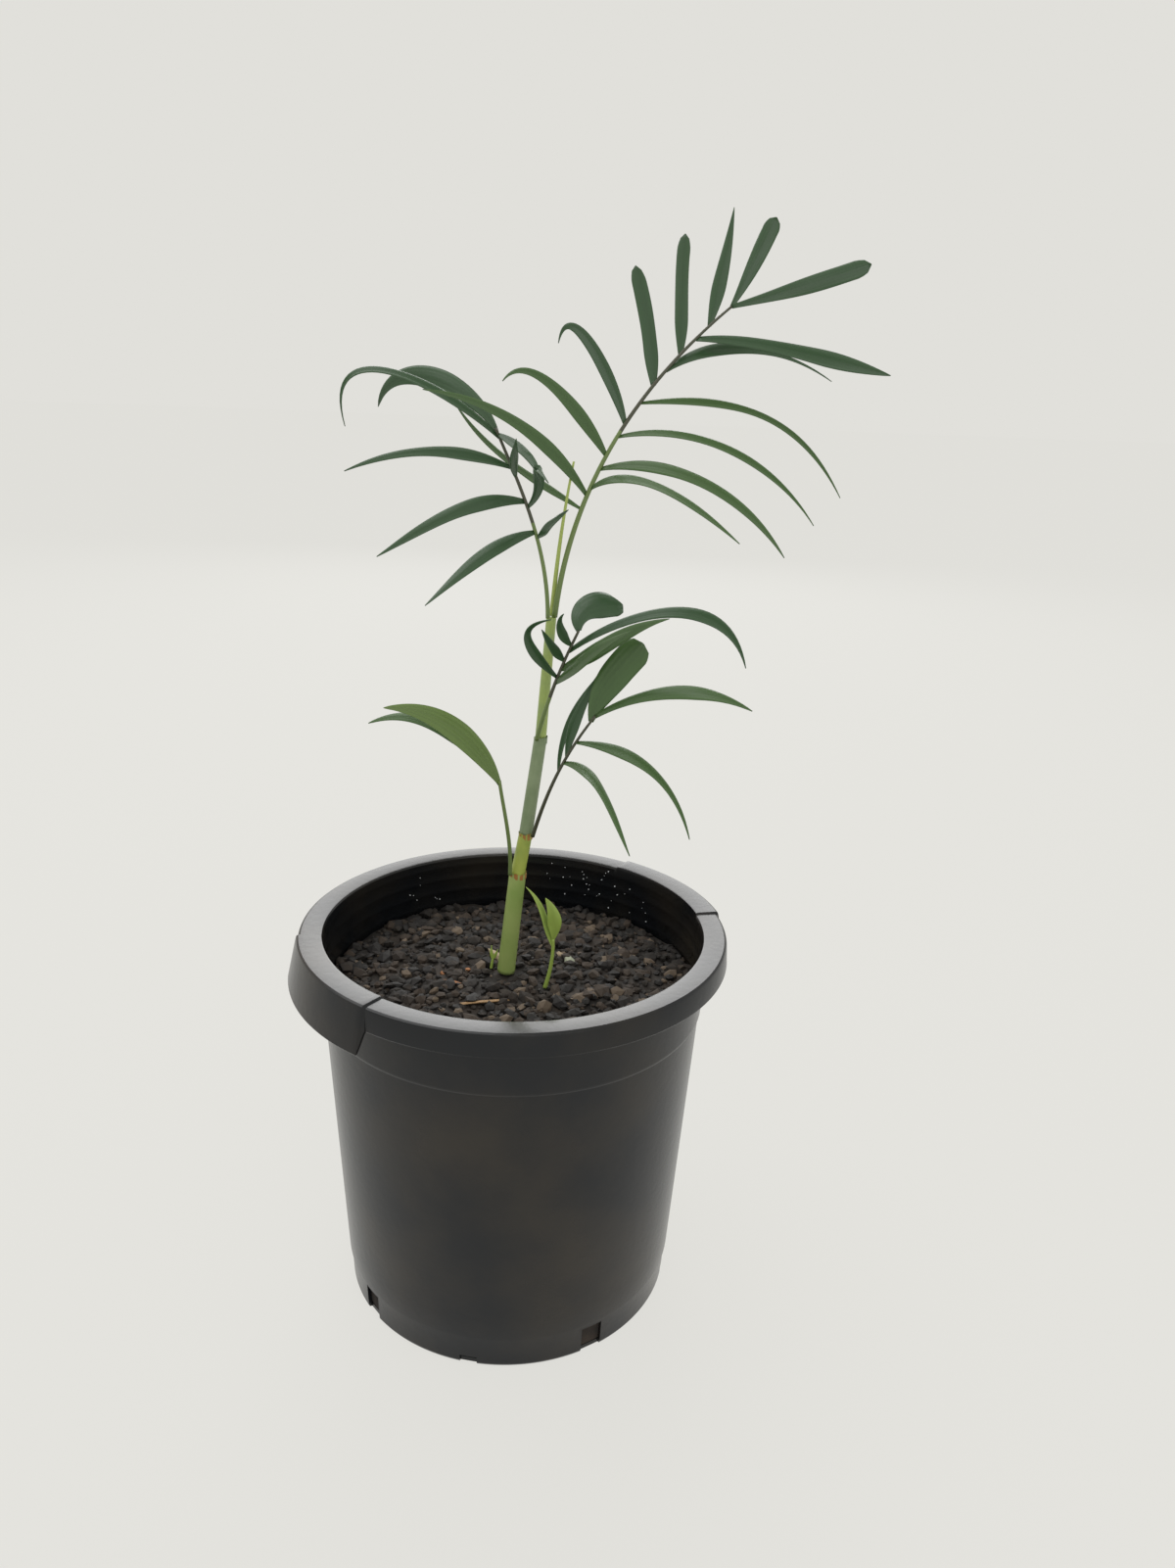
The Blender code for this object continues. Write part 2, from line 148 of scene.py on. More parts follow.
# Soil: what it is made of, as colour, roughness, relief and its scale, patches and their colour
SOIL_LOOKS = {
    "soil_dark": ((0.014, 0.011, 0.009), 0.85, 0.5, 700.0, 90.0, (0.034, 0.024, 0.017)),
    "soil_brown": ((0.045, 0.032, 0.023), 0.85, 0.5, 700.0),
    "soil_black": ((0.008, 0.006, 0.005), 0.7, 0.4, 700.0),
    "soil_tan": ((0.120, 0.088, 0.060), 0.8),
    "bark_orange": ((0.330, 0.140, 0.055), 0.7),
    "bark_gold": ((0.300, 0.180, 0.080), 0.7),
    "soil_stone": ((0.420, 0.330, 0.220), 0.7, 0.3, 500.0),
    "soil_green_stone": ((0.300, 0.320, 0.230), 0.7, 0.3, 500.0),
    "soil_leaf_bit": ((0.360, 0.380, 0.090), 0.5),
}

# Clods: how many, their sizes, how they share the first looks, and the room round stem and wall
CLODS = 2600
CLOD_SPREAD = 0.985
SMALL_CLOD = (0.8, 2.3)
LARGE_CLOD = (2.3, 4.2)
SMALL_SHARE = 0.72
CLOD_SHARES = (44, 20, 30, 6)
CLOD_LIFT = 0.25
CLOD_FLAT = 0.8
STEM_ROOM = 5.5
WALL_ROOM = 0.6

# Stones and crumbs: x, y, size, flatness and look
STONES = (
    (-9.0, 15.0, 4.4, 0.8, "soil_stone"),
    (27.0, 8.0, 4.0, 0.8, "soil_green_stone"),
    (22.0, 16.0, 2.6, 0.8, "soil_stone"),
    (33.0, 19.0, 1.6, 0.9, "soil_tan"),
    (-22.0, 1.0, 2.0, 0.5, "bark_orange"),
    (-34.0, -3.0, 1.6, 0.6, "bark_orange"),
    (12.0, 25.0, 2.2, 0.4, "soil_tan"),
    (-5.0, 28.0, 2.0, 0.4, "bark_gold"),
    (-62.0, -5.0, 2.2, 0.5, "soil_tan"),
    (48.0, -6.0, 1.8, 0.6, "soil_tan"),
    (-40.0, 30.0, 1.8, 0.6, "soil_brown"),
    (45.0, 30.0, 2.1, 0.6, "soil_tan"),
)
STONE_LIFT = 0.4

# Chips: x, y, length, breadth, turn and look
CHIPS = (
    (-13.0, -32.0, 10.0, 1.5, 8.0, "bark_gold"),
    (4.0, -34.0, 6.0, 1.8, 60.0, "soil_tan"),
    (52.0, -33.0, 4.0, 2.4, 20.0, "soil_leaf_bit"),
    (-30.0, -12.0, 5.0, 1.0, -20.0, "bark_orange"),
    (30.0, -24.0, 5.0, 1.0, 35.0, "soil_tan"),
    (-48.0, -22.0, 4.5, 1.0, 15.0, "soil_brown"),
)
CHIP_FLAT = 0.6
CHIP_THICK = 1.1

# Stem: joints between leaf sheaths, and each sheath's node with its radii
JOINTS = (
    (-3.9, -2.0, 161.3),
    (0.9, -2.0, 212.0),
    (4.2, -2.0, 231.5),
    (10.0, -1.0, 277.0),
    (13.4, 0.0, 331.0),
)
SHEATHS = (
    ("sheath_lowest", 4.2, 3.9),
    ("sheath_second", 3.3, 3.1),
    ("sheath_grey", 3.1, 2.9),
    ("sheath_upper", 2.5, 2.2),
)

# Stem: a look for each sheath, and last the brown of their torn edges
SHEATH_LOOKS = {
    "sheath_green": ((0.330, 0.420, 0.130), 0.42, 0.25, 900.0, 60.0, (0.250, 0.360, 0.090)),
    "sheath_yellow": ((0.380, 0.440, 0.080), 0.42, 0.25, 900.0, 80.0, (0.250, 0.330, 0.060)),
    "sheath_bloom": ((0.175, 0.235, 0.120), 0.50, 0.30, 900.0, 70.0, (0.240, 0.300, 0.170)),
    "sheath_spring": ((0.330, 0.420, 0.110), 0.42, 0.20, 900.0, 70.0, (0.260, 0.350, 0.120)),
    "sheath_torn": ((0.350, 0.160, 0.040), 0.6),
}

# Stem: sides, steps and ridges of a sheath, and the ragged mouth at its top
SHEATH_SIDES = 28
SHEATH_STEPS = 30
SHEATH_RIDGE = 0.012
SHEATH_OVERLAP = 0.3
MOUTH_RAGGED = (0.1, 1.3)
MOUTH_DEPTH = 2.2
MOUTH_FOOT = 0.05
MOUTH_OUT = 0.22
BROWN_MOUTHS = 2

# Leaf outlines: width at the foot, where it is full, where it starts to narrow, width at the tip
SHAPES = {
    "lance": (0.28, 0.35, 0.30, 0.05),
    "blunt": (0.35, 0.30, 0.88, 0.45),
    "club": (0.22, 0.80, 0.90, 0.45),
    "fan": (0.16, 0.60, 0.86, 0.50),
    "late": (0.30, 0.66, 0.64, 0.06),
    "broad": (0.16, 0.45, 0.40, 0.06),
}

# Leaf relief: fold along the midrib, pleats between veins, waves of the edge, half the thickness
FOLD = 0.22
PLEAT = 0.09
VEINS = 3
WAVE = 0.10
WAVE_PACE = 9.0
HALF_LEAF = 0.14
LEAST_HALF_WIDTH = 0.12

# Leaf tips: where they round off, where their own colour would start, and the share picked brown;
# TIP_START lies past the last row of faces, so no tip takes its own or the brown colour
TIP_ROUND = 0.965
TIP_START = 0.975
BROWN_TIP_SHARE = 0.7

# Stalks: sides, steps, and how much slimmer they are than the solids
STALK_SIDES = 12
STALK_STEPS = 40
STALK_SLIM = 0.78

# Leaf colours, and the roughness of the leaflets' upper faces and of the rest
LEAF_COLOURS = {
    "deep": (0.034, 0.080, 0.030),
    "mid": (0.060, 0.120, 0.034),
    "fresh": (0.120, 0.190, 0.045),
    "under": (0.085, 0.140, 0.060),
    "brown_tip": (0.160, 0.110, 0.060),
    "stalk_green": (0.140, 0.200, 0.060),
    "stalk_dark": (0.060, 0.062, 0.036),
    "spring": (0.330, 0.450, 0.090),
}
UPPER_SHADES = ("deep", "mid", "fresh")
UPPER_ROUGH = 0.34
LEAF_ROUGH = 0.45

# Leaf shades of the fronds that have more than one, in the order of their leaflets
TOP_SHADES = ("deep",) * 6 + ("mid",) * 3 + ("deep",) * 2 + ("mid",) * 4
MIDDLE_SHADES = ("deep",) * 5 + ("mid",) * 2
LOWER_SHADES = ("deep",) * 2 + ("mid",) * 4


def rib(start, end, heads, radii, full=0.36):
    """A leaf stalk: its two ends, the headings there and its radius at each end."""
    return {"start": start, "end": end, "heads": heads, "radii": radii, "full": full}


def leaf(at, reach, heads, width, turn, shape="lance", full=0.36):
    """One leaflet on a stalk.

    at: place along the stalk, 0 at the stem and 1 at the tip.
    reach: how far its tip lies to the right, away and up from its foot.
    heads: heading at the foot and at the tip, 0 to the right and 90 up.
    width: widest breadth. turn: how far its upper face looks to the viewer, foot and tip, with
    0 for straight up and 90 for straight at the viewer.
    """
    return {
        "at": at,
        "reach": reach,
        "heads": heads,
        "width": width,
        "turn": turn,
        "shape": shape,
        "full": full,
    }


# Top frond, which leans to the right and carries the highest leaflets
TOP_RIB = rib((14.8, 0.6, 331.3), (86.0, 20.0, 460.5), (84, 40), (1.6, 0.7))
TOP_LEAVES = (
    leaf(1.00, (18, 10, 36), (60, 64), 7.0, (80, 85), "club"),
    leaf(1.00, (56, -5, 18), (16, 20), 7.4, (70, 80), "club"),
    leaf(0.92, (10, 18, 48), (76, 82), 6.0, (80, 80)),
    leaf(0.81, (2, 22, 49), (87, 82), 5.6, (80, 75), "blunt"),
    leaf(0.70, (-8, 21, 48), (93, 106), 6.4, (80, 80), "blunt"),
    leaf(0.57, (-29, 4, 31), (106, 262), 5.8, (75, 60), "lance", 0.50),
    leaf(0.47, (-44, -14, 28), (121, 235), 5.8, (75, 50)),
    leaf(0.35, (-67, -27, 40), (124, 176), 5.8, (65, 60)),
    leaf(0.31, (-56, 28, 42), (150, 125), 4.6, (40, 40)),
    leaf(0.87, (80, -15, -12), (5, -14), 8.0, (40, 65), "late", 0.30),
    leaf(0.75, (76, 19, -1), (38, -30), 6.4, (60, 20)),
    leaf(0.64, (93, 12, -37), (8, -58), 6.0, (30, 40), "lance", 0.42),
    leaf(0.53, (84, -15, -33), (16, -56), 6.0, (30, 40)),
    leaf(0.43, (75, -34, -31), (18, -58), 6.6, (35, 65)),
    leaf(0.37, (57, -48, -16), (44, -42), 5.6, (30, 45)),
)

# Left frond, on a dark stalk that arches up to the left
LEFT_RIB = rib((11.8, -2.9, 331.3), (-11.7, 6.0, 408.7), (91, 115), (1.2, 0.8))
LEFT_LEAVES = (
    leaf(0.79, (-68, -12, -3), (158, 206), 6.2, (45, 45)),
    leaf(0.61, (-59, -30, -21), (170, 212), 6.8, (60, 60)),
    leaf(0.45, (-43, -45, -25), (187, 220), 6.6, (55, 55)),
    leaf(0.95, (-65, 9, 2), (137, 285), 6.0, (35, 30), "lance", 0.60),
    leaf(0.98, (-53, 34, 8), (118, 256), 10.0, (60, 70), "broad", 0.46),
    leaf(0.42, (12, -25, 14), (56, 42), 5.0, (30, 30)),
    leaf(0.58, (8, -30, 12), (52, -50), 5.4, (50, 60), "lance", 0.70),
    leaf(0.74, (0, -22, 16), (98, 82), 4.6, (50, 60)),
    leaf(0.97, (18, -26, -18), (-20, -82), 4.6, (50, 60)),
)

# Middle frond, which comes forward from the stem and curls its tip away
MIDDLE_RIB = rib((8.1, -5.0, 277.4), (24.1, -26.0, 330.6), (78, 68), (1.3, 0.7))
MIDDLE_LEAVES = (
    leaf(0.58, (-4, -24, 29), (130, 20), 4.6, (60, 60), "lance", 0.60),
    leaf(0.73, (-10, -10, 15), (128, 118), 4.4, (60, 60)),
    leaf(0.87, (-4, -11, 15), (130, 50), 4.4, (60, 60)),
    leaf(1.00, (19, 14, 9), (104, -24), 13.0, (75, 25), "fan", 0.46),
    leaf(0.82, (71, -21, -1), (42, -78), 6.4, (35, 40), "late", 0.46),
    leaf(0.66, (40, -37, 29), (34, 20), 7.6, (50, 45)),
    leaf(0.53, (27, -51, 33), (55, 38), 5.6, (40, 40)),
)

# Lower frond, the second lowest leaf on the right
LOWER_RIB = rib((7.3, -6.1, 231.9), (32.1, -30.0, 295.5), (77, 58), (1.2, 0.7))
LOWER_LEAVES = (
    leaf(0.53, (21, 8, 47), (92, 48), 4.6, (30, 30)),
    leaf(0.65, (15, -3, 42), (88, 62), 5.6, (45, 45)),
    leaf(0.95, (20, -5, 35), (82, 50), 13.0, (65, 75), "fan"),
    leaf(1.00, (61, -25, 10), (40, -28), 6.8, (35, 35), "late"),
    leaf(0.78, (45, -41, -28), (12, -78), 5.8, (30, 40), "lance", 0.42),
    leaf(0.61, (25, -55, -21), (22, -64), 5.4, (25, 40)),
)

# Lowest leaf, in two lobes that arch to the left
LOW_RIB = rib((-2.7, -5.2, 212.4), (-8.0, -14.0, 261.0), (88, 98), (1.2, 1.0))
LOW_LEAVES = (
    leaf(0.97, (-48, -18, 38), (112, 182), 11.0, (50, 60), "broad"),
    leaf(0.95, (-58, 8, 25), (116, 208), 9.0, (45, 35), "broad", 0.40),
)

# Young side shoot and the tiny sprout beside the stem
SHOOT_RIB = rib((14.4, -18.0, 161.3), (17.6, -18.0, 186.0), (74, 92), (1.3, 0.9))
SHOOT_LEAVES = (
    leaf(0.98, (-4, -2, 22), (76, 122), 7.0, (70, 60), "broad"),
    leaf(0.85, (-13, 4, 28), (108, 140), 3.6, (50, 60)),
)
SPROUT_RIB = rib((-11.0, 1.0, 161.3), (-10.4, 1.0, 166.0), (88, 86), (0.9, 0.7))
SPROUT_LEAVES = (
    leaf(0.95, (-0.5, 1, 7), (100, 82), 1.6, (70, 70)),
    leaf(0.95, (2.5, -1, 6), (66, 76), 1.6, (70, 70)),
)

# Youngest leaf, still rolled to a spear behind the top frond's stalk
SPEAR_FOOT = (13.6, 3.9, 331.3)
SPEAR_TIP = (21.3, 5.5, 396.5)
SPEAR_RADII = (1.1, 0.45)
SPEAR_HEADS = (86, 80)
SPEAR_FULL = 0.36
SPEAR_RIDGE = 0.06
SPEAR_COLOUR = (0.360, 0.440, 0.110)
SPEAR_ROUGH = 0.4

# Steps in which a line's length is measured
LINE_STEPS = 40


def unit(vector):
    """A vector's direction, as a vector of length 1."""
    return Vector(vector).normalized()


def heading(angle, depth):
    """A direction in the view plane, with its share of depth."""
    radians = math.radians(angle)
    return unit((math.cos(radians), depth, math.sin(radians)))


def bezier(start, end, heads, full):
    """Four control points of a smooth line between two ends with given headings."""
    start = Vector(start)
    end = Vector(end)
    chord = end - start
    flat = math.hypot(chord.x, chord.z)
    depth = max(-1.2, min(1.2, chord.y / max(flat, 1.0)))
    reach = chord.length * full
    first = start + heading(heads[0], depth) * reach
    second = end - heading(heads[1], depth) * reach
    return (start, first, second, end)


def on_line(line, t):
    """The point at t, from 0 to 1, of a smooth line."""
    s = 1.0 - t
    return line[0] * s**3 + line[1] * (3 * s * s * t) + line[2] * (3 * s * t * t) + line[3] * t**3


def along(line, t):
    """The direction of a smooth line at t."""
    s = 1.0 - t
    slope = (line[1] - line[0]) * (s * s)
    slope += (line[2] - line[1]) * (2 * s * t)
    slope += (line[3] - line[2]) * (t * t)
    return slope.normalized()


def place(line, share):
    """The value of t at a share of a line's length."""
    lengths = [0.0]
    for step in range(LINE_STEPS):
        span = on_line(line, (step + 1) / LINE_STEPS) - on_line(line, step / LINE_STEPS)
        lengths.append(lengths[-1] + span.length)
    for step in range(LINE_STEPS):
        if lengths[step + 1] >= share * lengths[-1]:
            part = (share * lengths[-1] - lengths[step]) / (lengths[step + 1] - lengths[step])
            return (step + part) / LINE_STEPS
    return 1.0


def breadth(shape, t):
    """Share of a leaf's full width at a place along it."""
    foot, grown, taper, tip = SHAPES[shape]
    wide = foot + (1.0 - foot) * math.sin(min(1.0, t / grown) * math.pi / 2)
    if t > taper:
        wide *= 1.0 - (1.0 - tip) * ((t - taper) / (1.0 - taper)) ** 1.6
    return wide


def inner_radius(height):
    """Inside radius of the pot wall at a height."""
    if height >= COLLAR_BOTTOM:
        share = (height - COLLAR_BOTTOM) / (POT_HEIGHT - COLLAR_BOTTOM)
        low = WALL_TOP_RADIUS - WALL_THICKNESS
        return low + (RIM_INNER_RADIUS - low) * share
    share = (height - FLOOR_THICKNESS) / (COLLAR_BOTTOM - FLOOR_THICKNESS)
    low = BASE_RADIUS - WALL_THICKNESS
    return low + (WALL_TOP_RADIUS - WALL_THICKNESS - low) * share


def material(name, colour, rough=0.5, bump=0.0, scale=400.0, spread=0.0, second=None):
    """A base colour and roughness, and perhaps a fine grain and a second colour in patches."""
    made = bpy.data.materials.new(name)
    made.use_nodes = True
    nodes = made.node_tree.nodes
    links = made.node_tree.links
    shader = nodes["Principled BSDF"]
    shader.inputs["Base Color"].default_value = (*colour, 1.0)
    shader.inputs["Roughness"].default_value = rough
    made.diffuse_color = (*colour, 1.0)
    if bump or second:
        spot = nodes.new("ShaderNodeTexCoord")
        grain = nodes.new("ShaderNodeTexNoise")
        grain.inputs["Scale"].default_value = scale
        grain.inputs["Detail"].default_value = GRAIN_DETAIL
        links.new(spot.outputs["Object"], grain.inputs["Vector"])
    if bump:
        relief = nodes.new("ShaderNodeBump")
        relief.inputs["Strength"].default_value = bump
        relief.inputs["Distance"].default_value = GRAIN_DEPTH * MM
        links.new(grain.outputs["Fac"], relief.inputs["Height"])
        links.new(relief.outputs["Normal"], shader.inputs["Normal"])
    if second:
        patches = nodes.new("ShaderNodeTexNoise")
        patches.inputs["Scale"].default_value = spread
        patches.inputs["Detail"].default_value = PATCH_DETAIL
        links.new(spot.outputs["Object"], patches.inputs["Vector"])
        ramp = nodes.new("ShaderNodeValToRGB")
        first_stop, second_stop = ramp.color_ramp.elements
        first_stop.position, second_stop.position = PATCH_RANGE
        first_stop.color = (*colour, 1.0)
        second_stop.color = (*second, 1.0)
        links.new(patches.outputs["Fac"], ramp.inputs["Fac"])
        links.new(ramp.outputs["Color"], shader.inputs["Base Color"])
    return made


def piece(name, points, faces, materials, picks=None, smooth=True):
    """A mesh object from points in millimetres, with a material for each face."""
    mesh = bpy.data.meshes.new(name)
    mesh.from_pydata([tuple(Vector(point) * MM) for point in points], [], faces)
    for made in materials:
        mesh.materials.append(made)
    if picks:
        mesh.polygons.foreach_set("material_index", picks)
    if smooth:
        mesh.polygons.foreach_set("use_smooth", [True] * len(mesh.polygons))
    mesh.update()
    thing = bpy.data.objects.new(name, mesh)
    bpy.context.scene.collection.objects.link(thing)
    return thing


class Heap:
    """Points, faces and material picks that grow until they become one piece."""

    def __init__(self):
        self.points = []
        self.faces = []
        self.picks = []

    def add(self, points, faces, picks):
        start = len(self.points)
        self.points.extend(points)
        self.faces.extend(tuple(start + corner for corner in face) for face in faces)
        self.picks.extend(picks)

    def build(self, name, materials, smooth=True):
        return piece(name, self.points, self.faces, materials, self.picks, smooth)


def ring_tube(heap, line, radii, pick_at, sides, steps, ridge=0.0):
    """A round tapering limb along a line, closed at both ends, with fine ridges along it."""
    points = []
    for step in range(steps + 1):
        t = step / steps
        centre = on_line(line, t)
        forward = along(line, t)
        across = unit(forward.cross(TO_VIEWER))
        up = across.cross(forward)
        for side in range(sides):
            angle = 2 * math.pi * side / sides
            radius = (radii[0] + (radii[1] - radii[0]) * t) * (1.0 + ridge * (side % 2))
            level = across * (radius * math.cos(angle))
            points.append(centre + level + up * (radius * math.sin(angle)))
    faces = []
    picks = []
    for step in range(steps):
        low = step * sides
        for side in range(sides):
            after = (side + 1) % sides
            faces.append((low + side, low + after, low + sides + after, low + sides + side))
            picks.append(pick_at(step / steps))
    faces.append(tuple(reversed(range(sides))))
    faces.append(tuple(range(steps * sides, (steps + 1) * sides)))
    picks.extend([pick_at(0.0), pick_at(1.0)])
    heap.add(points, faces, picks)


def fine_breadth(shape, t):
    """Share of a leaf's full width, with the tip rounded off."""
    past = max(0.0, (t - TIP_ROUND) / (1.0 - TIP_ROUND))
    return breadth(shape, t) * math.sqrt(max(0.02, 1.0 - past**2))


def leaf_section(line, plan, t, columns, wave):
    """The upper and lower points across a leaflet at one place along it."""
    centre = on_line(line, t)
    forward = along(line, t)
    facing = unit(TO_VIEWER - forward * TO_VIEWER.dot(forward))
    turn = math.radians(plan["turn"][0] + (plan["turn"][1] - plan["turn"][0]) * t)
    side = -1.0 if plan["reach"][0] > 0 else 1.0
    normal = facing * math.sin(turn) + forward.cross(facing) * (side * math.cos(turn))
    across = forward.cross(normal)
    half = max(LEAST_HALF_WIDTH, plan["width"] / 2 * fine_breadth(plan["shape"], t))
    tops = []
    unders = []
    for column in range(columns + 1):
        u = -1.0 + 2.0 * column / columns
        lift = -FOLD * half * abs(u)
        lift += PLEAT * half * math.cos(2 * math.pi * VEINS * abs(u)) * (1 - u * u)
        lift += WAVE * half * math.sin(WAVE_PACE * t + wave) * u
        base = centre + across * (u * half) + normal * lift
        tops.append(base + normal * HALF_LEAF)
        unders.append(base - normal * HALF_LEAF)
    return tops, unders


def leaf_blade(heap, foot, plan, steps, columns, shades, rng):
    """One leaflet as a thin closed blade, pleated, with a raised midrib."""
    upper, lower, tip_shade = shades
    line = bezier(foot, foot + Vector(plan["reach"]), plan["heads"], plan["full"])
    wave = rng.uniform(0.0, 6.3)
    tops = []
    unders = []
    for step in range(steps + 1):
        above, below = leaf_section(line, plan, step / steps, columns, wave)
        tops += above
        unders += below
    row = columns + 1
    count = len(tops)
    faces = []
    picks = []
    for step in range(steps):
        at_tip = step / steps > TIP_START
        for column in range(columns):
            low = step * row + column
            under = count + low
            faces.append((low, low + 1, low + row + 1, low + row))
            faces.append((under, under + row, under + row + 1, under + 1))
            picks += [tip_shade, tip_shade] if at_tip else [upper, lower]
        for edge in (0, columns):
            low = step * row + edge
            quad = (low, low + row, count + low + row, count + low)
            faces.append(quad if edge == 0 else tuple(reversed(quad)))
            picks.append(upper)
    for step in (0, steps):
        for column in range(columns):
            low = step * row + column
            quad = (low, count + low, count + low + 1, low + 1)
            faces.append(quad if step == 0 else tuple(reversed(quad)))
            picks.append(upper)
    heap.add(tops + unders, faces, picks)


def leaf_materials():
    """A material for each leaf colour, glossier on the leaflets' upper faces."""
    made = []
    for name, colour in LEAF_COLOURS.items():
        rough = UPPER_ROUGH if name in UPPER_SHADES else LEAF_ROUGH
        made.append(material("leaf_" + name, colour, rough))
    return made


def part_green(share):
    """Shades of a stalk that is green up to a share of its length, and dark above that."""
    return lambda t: "stalk_green" if t < share else "stalk_dark"


def build_frond(name, stalk, leaves, shades, stalk_pick, seed, steps=30, columns=12):
    """A stalk and its leaflets as one piece that stands for the node of the same name."""
    names = list(LEAF_COLOURS)
    rng = random.Random(SEED + seed)
    heap = Heap()
    line = bezier(stalk["start"], stalk["end"], stalk["heads"], stalk["full"])
    radii = [STALK_SLIM * radius for radius in stalk["radii"]]
    ring_tube(heap, line, radii, lambda t: names.index(stalk_pick(t)), STALK_SIDES, STALK_STEPS)
    for number, plan in enumerate(leaves):
        foot = on_line(line, place(line, plan["at"]))
        shade = shades[number % len(shades)]
        tip = "brown_tip" if rng.random() < BROWN_TIP_SHARE else shade
        picks = [names.index(word) for word in (shade, "under", tip)]
        leaf_blade(heap, foot, plan, steps, columns, picks, rng)
    made = heap.build(name + "_leaves", LEAF_MATERIALS)
    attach(made, "root")
    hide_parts(name)


def build_mouth(heap, mouth, mouth_radius, number):
    """The torn upper edge of a sheath: a ring of uneven height round the next sheath."""
    rng = random.Random(SEED + number)
    points = []
    for torn, radius in ((False, mouth_radius + MOUTH_FOOT), (True, mouth_radius + MOUTH_OUT)):
        for side in range(SHEATH_SIDES):
            angle = 2 * math.pi * side / SHEATH_SIDES
            rise = rng.uniform(*MOUTH_RAGGED) if torn else -MOUTH_DEPTH
            points.append(mouth + Vector((radius * math.cos(angle), radius * math.sin(angle), rise)))
    faces = []
    picks = []
    torn_brown = len(SHEATH_LOOKS) - 1
    for side in range(SHEATH_SIDES):
        after = (side + 1) % SHEATH_SIDES
        faces.append((side, after, SHEATH_SIDES + after, SHEATH_SIDES + side))
        picks.append(torn_brown if number < BROWN_MOUTHS and side % 3 else number)
    heap.add(points, faces, picks)


def build_stem():
    """The stem as sheaths one above the other, all but the last with a ragged mouth."""
    colours = [material(name, *look) for name, look in SHEATH_LOOKS.items()]
    for number, (name, foot_radius, mouth_radius) in enumerate(SHEATHS):
        heap = Heap()
        foot = Vector(JOINTS[number])
        mouth = Vector(JOINTS[number + 1])
        third = (mouth - foot) / 3
        line = (foot, foot + third, foot + third * 2, mouth + Vector((0.0, 0.0, SHEATH_OVERLAP)))
        radii = (foot_radius, mouth_radius)
        ring_tube(heap, line, radii, lambda t: number, SHEATH_SIDES, SHEATH_STEPS, SHEATH_RIDGE)
        if number < len(SHEATHS) - 1:
            build_mouth(heap, mouth, mouth_radius, number)
        made = heap.build(name + "_skin", colours)
        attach(made, "root")
        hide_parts(name)


def build_spear():
    """The rolled young leaf, with folds along it."""
    heap = Heap()
    line = bezier(SPEAR_FOOT, SPEAR_TIP, SPEAR_HEADS, SPEAR_FULL)
    ring_tube(heap, line, SPEAR_RADII, lambda t: 0, STALK_SIDES, STALK_STEPS, SPEAR_RIDGE)
    made = heap.build("spear_leaf", [material("spear_green", SPEAR_COLOUR, SPEAR_ROUGH)])
    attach(made, "root")
    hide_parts("spear")


def smooth_step(value):
    """0 to 1 with a soft start and end."""
    value = max(0.0, min(1.0, value))
    return value * value * (3 - 2 * value)


def grip_share(angle):
    """1 within a grip, 0 outside it, with a short steep end."""
    best = 0.0
    for centre in GRIP_CENTRES:
        away = abs((angle - centre + 180.0) % 360.0 - 180.0)
        share = smooth_step((GRIP_HALF_ANGLE + GRIP_RAMP - away) / (2 * GRIP_RAMP))
        best = max(best, share)
    return best


def lower_outline():
    """The wall's outside, from the underside's edge up over the foot ring to the collar."""
    outline = [
        (BASE_RADIUS - 2.0, 0.0),
        (BASE_RADIUS - 0.6, 0.5),
        (BASE_RADIUS, 1.6),
        (FOOT_RING_RADIUS - 0.9, FOOT_RING_HEIGHT - 0.9),
        (FOOT_RING_RADIUS - 0.8, FOOT_RING_HEIGHT - 0.5),
        (FOOT_RING_RADIUS - 0.1, FOOT_RING_HEIGHT),
        (FOOT_RING_RADIUS, FOOT_RING_HEIGHT + 0.6),
    ]
    wide = WALL_TOP_RADIUS - FOOT_RING_RADIUS
    tall = COLLAR_BOTTOM - FOOT_RING_HEIGHT - 1.2
    for step in range(1, WALL_STEPS):
        t = step / WALL_STEPS
        outline.append((FOOT_RING_RADIUS + wide * t, FOOT_RING_HEIGHT + 0.6 + tall * t))
    outline += [
        (WALL_TOP_RADIUS, COLLAR_BOTTOM - 0.4),
        (WALL_TOP_RADIUS + 0.5, COLLAR_BOTTOM),
        (COLLAR_RADIUS, COLLAR_BOTTOM + 0.6),
        (COLLAR_RADIUS + 0.05, COLLAR_BOTTOM + 1.6),
        (COLLAR_RADIUS + 0.5, POT_HEIGHT - 3.4),
        (COLLAR_RADIUS + 1.3, POT_HEIGHT - 2.2),
    ]
    return outline


def rim_outline(share):
    """The turned-over rim: under it, round its skirt, across its top. share: 1 at a grip."""
    rise = GRIP_RISE * share
    top = POT_HEIGHT + rise
    skirt = POT_HEIGHT - (SKIRT_DEPTH + (GRIP_DEPTH - SKIRT_DEPTH) * share)
    low_radius = RIM_RADIUS + SKIRT_FLARE + (GRIP_FLARE - SKIRT_FLARE) * share
    radius = RIM_RADIUS + GRIP_OUT * share
    return [
        (radius - 2.4, POT_HEIGHT - 2.0 + rise),
        (radius - 1.5, POT_HEIGHT - 3.0 + rise),
        (low_radius - 1.4, skirt + 0.2),
        (low_radius - 1.0, skirt),
        (low_radius - 0.3, skirt),
        (low_radius, skirt + 0.4),
        (radius, top - 1.4),
        (radius - 0.4, top - 0.5),
        (radius - 1.3, top),
        (RIM_INNER_RADIUS + 1.5, top),
        (RIM_INNER_RADIUS + 0.5, top - 0.3),
        (RIM_INNER_RADIUS, POT_HEIGHT - 1.2),
    ]


